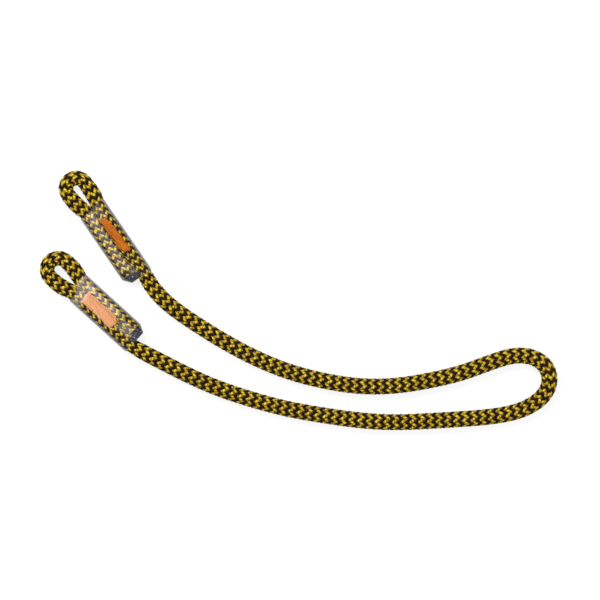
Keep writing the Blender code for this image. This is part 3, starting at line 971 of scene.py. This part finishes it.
def film_station(name, share):
    """One station of the film: its world points, and the values painted on them."""
    sleeve = SLEEVES[name]
    stitches = sleeve["stitches"]
    station = sleeve["near_end"] + (SLEEVE_FAR - sleeve["near_end"]) * share
    outline, facing = film_section(name, station)
    across, height = outline[:, 0], outline[:, 1]
    along = station + (mouth_at(name, across) - SLEEVE_FAR) * share**SKEW_FULLNESS
    over_rows = band(along, stitches["near"][0], stitches["far"][-1], LIFT_FADE)
    over_rows = over_rows * band(across, *stitches["near_across"], LIFT_FADE / 2)
    crease = CREASE * np.sin(along / CREASE_LENGTH + CREASE_BEND * np.sin(across / CREASE_WIDTH))
    aside = TIP_WIDTH * (across - sleeve["tip_across"] + CRUSHED_RADIUS)
    at_tip = smooth(2 - np.hypot(along - sleeve["near_end"], aside) / TIP_SHADE)
    folds = FOLD_DEPTH * at_tip * np.abs(np.sin(across / FOLD_WIDTH + along / FOLD_LENGTH))
    height = height + facing * (STITCH_LIFT * over_rows + crease - folds)
    at_side = smooth((SIDE_FROM - np.abs(facing)) / SIDE_FADE_OVER)
    return place(name, along, across, height), {
        "haze": CLEAR_FILM + milkiness(name, along, across)[0],
        "dark": DARK_TIP * at_tip,
        "side": SIDE_LEAST + (1 - SIDE_LEAST) * at_side,
    }


print("painted on the film:", list(film_station("eye_a", 0.5)[1]))

# %% [markdown]
# Seen straight on, the film is almost nothing. Seen at a slant, at the sides, the light
# goes a longer way through it and it turns grey. Layer Weight gives that slant, and the
# painted side value holds it back on the top, which would go grey too when the lanyard
# is seen from low down. At the tip it is dark, as it is folded several times over.

# %% The film's body
EDGE_FILM = [(0.24, 0.0), (0.40, 0.34), (0.58, 0.58), (0.78, 0.76), (1.0, 0.92)]
EDGE_GREY = (0.30, 0.29, 0.31, 1.0)
CLOUDS = [(0.35, 0.30), (0.65, 0.60)]
MILK_STOPS = [(0.0, (0.0, 0.0, 0.0)), (1.0, (1.0, 0.92, 0.86))]
TIP_STOPS = [(0.0, (1.0, 1.0, 1.0)), (1.0, (0.20, 0.19, 0.28))]


def layered(material, kind, under, over, **entries):
    """A node that joins two surfaces, which are its last two entries."""
    made = node(material, kind, **entries)
    for entry, surface in zip(list(made.inputs)[-2:], (under, over)):
        feed(material, entry, surface)
    return made


clear_film, grey_edge = new_material("clear_sleeve_film")
fill(clear_film, grey_edge, Base_Color=EDGE_GREY, Roughness=0.35)
film_place = node(clear_film, "TexCoord")
clouding = node(
    clear_film, "TexNoise", Vector=(film_place, "Object"), Scale=240.0, Detail=2.0
)
cloud = shades(clear_film, (clouding, "Fac"), CLOUDS)
haze = maths(clear_film, "MULTIPLY", painted(clear_film, "haze"), cloud)
milk = node(clear_film, "BsdfDiffuse", Color=ramp(clear_film, haze, MILK_STOPS))
tint = ramp(clear_film, painted(clear_film, "dark"), TIP_STOPS)
see_through = node(clear_film, "BsdfTransparent", Color=tint)
top_film = layered(clear_film, "AddShader", (see_through, "BSDF"), (milk, "BSDF"))
slant = node(clear_film, "LayerWeight", Blend=0.5)
greyness = shades(clear_film, (slant, "Facing"), EDGE_FILM)
greyness = maths(clear_film, "MULTIPLY", greyness, painted(clear_film, "side"))
whole_film = layered(
    clear_film, "MixShader", (top_film, "Shader"), (grey_edge, "BSDF"), Fac=greyness
)
print("nodes in the film's body:", len(clear_film.node_tree.nodes))

# %% [markdown]
# The gloss is a thin layer over the body. On the flat of the sleeve it is very faint,
# with soft ripples. The crumpled tip shines more, and its folds are like facets, so
# each catches the light for itself.

# %% The film's gloss
GLOSS_TINT = (0.86, 0.85, 1.0, 1.0)
FILM_SHINE, TIP_SHINE = 0.003, 0.105
RIPPLE_RELIEF = 0.2 * MM
CRUMPLE_RELIEF = 1.0 * MM

ripples = node(
    clear_film, "Bump", Strength=0.3, Distance=RIPPLE_RELIEF, Height=(clouding, "Fac")
)
facets = node(clear_film, "TexVoronoi", Vector=(film_place, "Object"), Scale=380.0)
crumple = node(
    clear_film, "Bump", Strength=painted(clear_film, "dark"),
    Distance=CRUMPLE_RELIEF, Height=(facets, "Distance"), Normal=(ripples, "Normal"),
)
gloss = node(
    clear_film, "BsdfAnisotropic", Color=GLOSS_TINT, Roughness=0.20,
    Normal=(crumple, "Normal"),
)
tip_shine = maths(clear_film, "MULTIPLY", painted(clear_film, "dark"), TIP_SHINE)
shine = maths(clear_film, "ADD", FILM_SHINE, tip_shine)
glossy_film = layered(
    clear_film, "MixShader", (whole_film, "Shader"), (gloss, "BSDF"), Fac=shine
)
film_output = clear_film.node_tree.nodes["Material Output"]
fill(clear_film, film_output, Surface=(glossy_film, "Shader"))
print("nodes in the film's material:", len(clear_film.node_tree.nodes))

# %% [markdown]
# The stations are joined to an open tube, and a modifier gives the film its wall. Each
# sleeve stands for the frame's plain ring. It rides on its sewn end, as all pieces there
# do, so that it turns with it.

# %% The two films
FILM_WALL = 0.30 * MM
FILM_STATIONS = 140


def dress(piece, body, stands_for):
    """Lets a piece ride on its body, where it stands for one of the frame's solids."""
    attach(piece, body)
    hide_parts(stands_for)
    print(piece.name, len(piece.data.polygons), "faces")


def film(name):
    """One sleeve's film, as an open tube of stations along the ropes."""
    shares = np.linspace(0.0, 1.0, FILM_STATIONS)
    points, values = zip(*(film_station(name, share) for share in shares))
    around = len(points[0])
    index = np.arange(FILM_STATIONS * around).reshape(FILM_STATIONS, around)
    turned = np.roll(index, -1, axis=1)
    faces = np.stack([index[:-1], turned[:-1], turned[1:], index[1:]], axis=-1).reshape(-1, 4)
    made = made_mesh(name + "_film", np.concatenate(points), faces.tolist(), [clear_film], [
        (title, "POINT", np.concatenate([each[title] for each in values]))
        for title in values[0]
    ])
    wall = made.modifiers.new("wall", "SOLIDIFY")
    wall.thickness = FILM_WALL
    wall.offset = 0.0
    return made


for name in ENDS:
    dress(film(name), name, name + "_sleeve")

# %% [markdown]
# Threads are tubes swept along lines. All runs of a patch are joined to one mesh, as
# they are one thread on the real seam. Their UVs run along each tube in millimetres and
# once round it, so that the twist of the thread keeps its real size.

# %% Tubes
TONE_DRAW = 3


def swept_tube(points, radius, sides):
    """Rings of points round a line."""
    ahead = np.gradient(points, axis=0)
    ahead /= np.linalg.norm(ahead, axis=1)[:, None]
    side = np.cross(ahead, UP)
    side /= np.linalg.norm(side, axis=1)[:, None]
    up = np.cross(side, ahead)
    turn = 2 * math.pi * np.arange(sides) / sides
    ring = np.cos(turn)[None, :, None] * side[:, None] + np.sin(turn)[None, :, None] * up[:, None]
    return points[:, None] + radius * ring


def joined_tubes(name, tubes, material, milk=0.0):
    """One mesh of several tubes with closed ends, each with its own tone."""
    points, faces, uvs, tones = [], [], [], []
    for number, rings in enumerate(tubes):
        count, sides = rings.shape[:2]
        index = np.arange(count * sides).reshape(count, sides) + sum(map(len, points))
        turned = np.roll(index, -1, axis=1)
        quads = np.stack([index[:-1], index[1:], turned[1:], turned[:-1]], axis=-1)
        faces += quads.reshape(-1, 4).tolist() + [index[0].tolist(), index[-1][::-1].tolist()]
        along = distance_along(rings.mean(axis=1)) / MM
        along = np.stack([along[:-1], along[1:], along[1:], along[:-1]], axis=-1)
        around = np.arange(sides) / sides
        around = np.stack([around, around, around + 1 / sides, around + 1 / sides], axis=-1)
        corners = np.broadcast_arrays(along[:, None], around[None])
        uvs += [np.stack(corners, axis=-1).reshape(-1, 2), np.zeros((2 * sides, 2))]
        points.append(rings.reshape(-1, 3))
        tones.append(np.full(count * sides, scatter(number, TONE_DRAW)))
    points, tones = np.concatenate(points), np.concatenate(tones)
    made = made_mesh(name, points, faces, [material], [
        ("tone", "POINT", tones), ("milk", "POINT", np.full(len(points), milk)),
    ])
    uvs = np.concatenate(uvs).reshape(-1)
    made.data.uv_layers.new(name="along").data.foreach_set("uv", uvs)
    return made


print("tones of the first three tubes:", [round(scatter(k, TONE_DRAW), 2) for k in range(3)])

# %% [markdown]
# The seam is sewn with a stout orange thread, one face from the needle and the other
# from the bobbin. A run of it lies over the two ropes and bridges the valley between
# them. Every 3 mm it dips slightly, where the needle drew it into the rope, and at both
# ends it tucks in.

# %% How a run lies
THREAD_RADIUS = 0.30 * MM
LAYER_RISE = 0.20 * MM
STITCH_PITCH = 3.1 * MM
DIP_DEPTH = 0.07 * MM
DIP_WIDTH = 0.42 * MM
BRIDGE_HEIGHT = 3.5 * MM
ABOVE_BRAID = 0.12 * MM


def thread_height(along, across, layer, start):
    """How high a run lies: over the two ropes, with dips, and tucked in at its ends."""
    reach = EYE_ROPE_RADIUS + THREAD_RADIUS + ABOVE_BRAID
    from_rope = np.abs(np.abs(across - ROPE_SPACING / 2) - ROPE_SPACING / 2)
    height = np.maximum(np.sqrt(np.maximum(reach**2 - from_rope**2, 0.0)), BRIDGE_HEIGHT)
    step = np.mod(along / STITCH_PITCH + start, 1.0)
    dip = DIP_DEPTH * np.exp(-(np.minimum(step, 1 - step) * STITCH_PITCH / DIP_WIDTH) ** 2)
    ends = np.minimum(along - along[0], along[-1] - along)
    tuck = 2 * THREAD_RADIUS * np.exp(-(ends / DIP_WIDTH) ** 2)
    return height + LAYER_RISE * layer - dip - tuck


stitch = np.linspace(0.0, STITCH_PITCH, 5)
stitch_heights = thread_height(stitch, np.zeros_like(stitch), 0, 0.5) / MM
print("heights along a run as short as one stitch, in mm:", stitch_heights.round(2).tolist())

# %% [markdown]
# The runs lie side by side at a slant across the patch, over a layer that slants the
# other way. The patch's edges are ragged, as each run stops where it likes. A run's
# luck comes from its number, its face and its layer, so it is the same each time.

# %% Runs of thread
RUN_SPACING = 1.25 * MM
RUN_SLOPE = 0.34
SLOPE_SPREAD = 0.06
RAGGED = 1.1 * MM
EDGE_RAGGED = 1.3 * MM
EDGE_INWARD = 0.4
EDGE_SHARES = (0.0, 0.6, 1.0)
POINT_STEP = 0.3 * MM
SHORTEST_RUN = 1.2 * MM
MOST_RUNS = 40
THREAD_SIDES = 6


def runs_of_thread(name, face, layer):
    """One layer of the patch: slanting runs of thread between its two edges."""
    stitches = SLEEVES[name]["stitches"]
    slant = RUN_SLOPE if layer else -RUN_SLOPE
    near, far = min(stitches["near"]), max(stitches["far"])
    length = (far - near) + (stitches["near_across"][1] - stitches["near_across"][0]) / RUN_SLOPE
    runs = []
    for number in range(int(length / RUN_SPACING)):
        luck = [scatter(number + MOST_RUNS * k, face + 2 * layer) - 0.5 for k in range(3)]
        slope = slant + SLOPE_SPREAD * luck[0]
        middle = (near + far) / 2 - length / 2 + RUN_SPACING * (number + 0.5)
        along = np.arange(near, far, POINT_STEP)
        way = (along - near) / (far - near)
        left, right = (
            np.interp(way, (0.0, 1.0), (stitches["near_across"][k], stitches["far_across"][k]))
            for k in range(2)
        )
        across = (left + right) / 2 + slope * (along - middle)
        share = (across - left) / (right - left)
        first = np.interp(share, EDGE_SHARES, stitches["near"]) + RAGGED * luck[1]
        last = np.interp(share, EDGE_SHARES, stitches["far"]) + RAGGED * luck[2]
        over = EDGE_RAGGED * (scatter(number // 2, 5 * face + layer) - EDGE_INWARD)
        inside = (along > first) & (along < last)
        inside &= (across > left - over) & (across < right + over)
        if inside.sum() * POINT_STEP < SHORTEST_RUN:
            continue
        along, across = along[inside], across[inside]
        height = thread_height(along, across, layer, luck[0])
        line = place(name, along, across, face * height)
        runs.append(swept_tube(line, THREAD_RADIUS, THREAD_SIDES))
    return runs


print("runs in one layer of eye a:", len(runs_of_thread("eye_a", 1, 0)))

# %% [markdown]
# The thread is bonded, slightly glossy and twisted from plies, which show as fine
# slanting bands along it: a bump, and painted shade in the grooves between the plies.
# Under the milky film of eye b the patch looks pale, so it has the film's milk painted on
# it as the yarn has.

# %% Orange thread
PLY_SLANT = 0.7
PLY_RELIEF = 0.1 * MM
# The thread's orange, painted darker towards the low stops as shade in the ply grooves.
THREAD_STOPS = [
    (0.0, (0.25, 0.046, 0.001)), (0.5, (0.465, 0.116, 0.001)), (1.0, (0.56, 0.172, 0.003)),
]
THREAD_MILK = (1.0, 0.91, 0.68, 1.0)

orange_thread, thread_body = new_material("orange_seam_thread")
thread_uv = node(orange_thread, "UVMap")
thread_uv.uv_map = "along"
slanted = node(
    orange_thread, "Mapping", Vector=(thread_uv, "UV"), Rotation=(0.0, 0.0, PLY_SLANT)
)
plies = node(
    orange_thread, "TexWave", Vector=(slanted, "Vector"), Scale=1.4, Distortion=1.5
)
# Painted shade: the ply wave darkens the grooves between plies; each run also has its own tone.
ply_shade_and_tone = maths(orange_thread, "ADD", (plies, "Fac"), painted(orange_thread, "tone"))
ply_shade_and_tone = maths(orange_thread, "MULTIPLY", ply_shade_and_tone, 0.5)
dye_and_ply_shade = ramp(orange_thread, ply_shade_and_tone, THREAD_STOPS)
veiled = mixed(orange_thread, "ADD", painted(orange_thread, "milk"), dye_and_ply_shade, THREAD_MILK)
ply_bump = node(
    orange_thread, "Bump", Strength=0.3, Distance=PLY_RELIEF, Height=(plies, "Fac")
)
fill(
    orange_thread, thread_body, Base_Color=veiled, Roughness=0.6, Specular_IOR_Level=0.06,
    Normal=(ply_bump, "Normal"),
)
print("nodes in the thread's material:", len(orange_thread.node_tree.nodes))

# %% [markdown]
# Each sewn end has two patches, which mirror each other's place but not their luck.
# The lower layer of each is made first, then the one that crosses it.

# %% Stitching
for name in ENDS:
    for kind, face in (("needle", 1), ("bobbin", -1)):
        runs = runs_of_thread(name, face, 0) + runs_of_thread(name, face, 1)
        veil = SLEEVES[name]["veil"]
        patch = joined_tubes(f"{name}_{kind}_runs", runs, orange_thread, veil)
        dress(patch, name, f"{name}_{kind}_thread")

# %% [markdown]
# Before the seam is sewn, the rope's cut end is melted so that it can't fray. The melt
# leaves a dark, glassy cap, which shows through the crushed corner of the sleeve. Its
# material is almost black, with paler flecks where yellow yarn has melted in.

# %% Melted rope
MELT_STOPS = [
    (0.35, (0.005, 0.006, 0.012)), (0.6, (0.02, 0.022, 0.035)), (0.75, (0.09, 0.085, 0.05)),
]
MELT_RELIEF = 0.4 * MM

melted_rope, melted_body = new_material("melted_rope_end")
melt_place = node(melted_rope, "TexCoord")
flecks = node(
    melted_rope, "TexNoise", Vector=(melt_place, "Object"), Scale=520.0, Detail=2.0
)
melt_bump = node(
    melted_rope, "Bump", Strength=0.5, Distance=MELT_RELIEF, Height=(flecks, "Fac")
)
fill(
    melted_rope, melted_body, Base_Color=ramp(melted_rope, (flecks, "Fac"), MELT_STOPS),
    Roughness=0.22, Normal=(melt_bump, "Normal"),
)
print("nodes in the melt's material:", len(melted_rope.node_tree.nodes))

# %% [markdown]
# The cap follows the crushed film just inside it. Its rings run from the end of the
# braid to the sleeve's tip and narrow towards it. Two waves that travel round as they
# go make it lumpy, and a last small ring closes it with a blunt face.

# %% Melted ends
SEAL_RINGS = 22
SEAL_SIDES = 40
SEAL_START = 0.6 * MM
SEAL_INSET = 0.6 * MM
SEAL_GAP = 0.50 * MM
SEAL_INNER = 4.8 * MM
SEAL_CAP = 0.35
LUMP = 0.16 * MM
LUMPS_AROUND = (3, 2)
LUMPS_TRAVEL = (5, -4)


def melted_end(name):
    """Rings of points for the melted cap of one tail."""
    sleeve = SLEEVES[name]
    cut_at = sleeve["near_end"] + sleeve["crush"] + SEAL_START
    tip_at = sleeve["near_end"] + SEAL_INSET
    turn = 2 * math.pi * np.arange(SEAL_SIDES) / SEAL_SIDES
    rings = []
    for share in np.append(np.linspace(0.0, 1.0, SEAL_RINGS), 1.0):
        along = cut_at + (tip_at - cut_at) * share
        _, _, middle, radius, _ = film_circles(name, along)
        radius -= SEAL_GAP
        inner = SEAL_INNER + (middle - radius - SEAL_INNER) * share**2
        middle, half_width = (middle + radius + inner) / 2, (middle + radius - inner) / 2
        lump = LUMP
        for count, travel in zip(LUMPS_AROUND, LUMPS_TRAVEL):
            lump = lump * np.sin(count * turn + travel * share)
        if len(rings) == SEAL_RINGS:
            radius, half_width, lump = SEAL_CAP * radius, SEAL_CAP * half_width, SEAL_CAP * lump
        across = middle + (half_width + lump) * np.cos(turn)
        rings.append(place(name, along, across, (radius + lump) * np.sin(turn)))
    return np.array(rings)


for name in ENDS:
    cap = joined_tubes(name + "_melted_end", [melted_end(name)], melted_rope)
    dress(cap, name, name + "_tail_seal")

# %% [markdown]
# The floor stands for the white ground of the photograph. A white floor would throw so
# much light up at the rope that its sides lost their shade. So it is dull, and glows
# only for the eye, straight or through gloss and film. It lies a hair's breadth below
# the solids, because the braid's floats reach down past them.

# %% Floor
FLOOR_SIZE = 6.0
FLOOR_DROP = 0.30 * MM
FLOOR_PALE = (0.20, 0.20, 0.20, 1.0)
FLOOR_GLOW = 0.83
WHITE = (1.0, 1.0, 1.0, 1.0)

bpy.ops.mesh.primitive_plane_add(size=FLOOR_SIZE, location=(0.0, 0.0, -FLOOR_DROP))
floor = bpy.context.object
floor.name = "floor"
white_floor, floor_body = new_material("floor_white")
seen = node(white_floor, "LightPath")
glow = maths(white_floor, "ADD", (seen, "Is Camera Ray"), (seen, "Is Glossy Ray"))
glow = maths(white_floor, "ADD", glow, (seen, "Is Transmission Ray"))
fill(
    white_floor, floor_body, Base_Color=FLOOR_PALE, Roughness=0.9, Specular_IOR_Level=0.1,
    Emission_Color=WHITE, Emission_Strength=maths(white_floor, "MULTIPLY", glow, FLOOR_GLOW),
)
floor.data.materials.append(white_floor)
print(f"the floor lies {FLOOR_DROP / MM:.2f} mm below the solids")

# %% [markdown]
# The light is soft: a pale sky all round, one broad lamp above and one weaker lamp from
# the side, which models the braid's relief.

# %% Light
SKY_STRENGTH = 0.60
LAMPS = {
    "key_lamp": {"location": (-0.5, 0.7, 1.1), "size": 0.6, "power": 17.0},
    "side_lamp": {"location": (0.9, -0.5, 0.8), "size": 0.5, "power": 3.0},
}

world = bpy.data.worlds.new("studio")
world.use_nodes = True
sky = world.node_tree.nodes["Background"]
sky.inputs["Color"].default_value = WHITE
sky.inputs["Strength"].default_value = SKY_STRENGTH
bpy.context.scene.world = world
for name, lamp in LAMPS.items():
    data = bpy.data.lights.new(name, "AREA")
    data.shape = "SQUARE"
    data.size = lamp["size"]
    data.energy = lamp["power"]
    made = bpy.data.objects.new(name, data)
    made.location = lamp["location"]
    made.rotation_euler = (-Vector(lamp["location"])).to_track_quat("-Z", "Y").to_euler()
    bpy.context.scene.collection.objects.link(made)
    print(name, "is", round(made.location.length, 2), "m away")
bpy.context.scene.view_settings.view_transform = "Standard"
bpy.context.scene.view_settings.look = "None"

# %% Finish
bpy.context.view_layer.update()
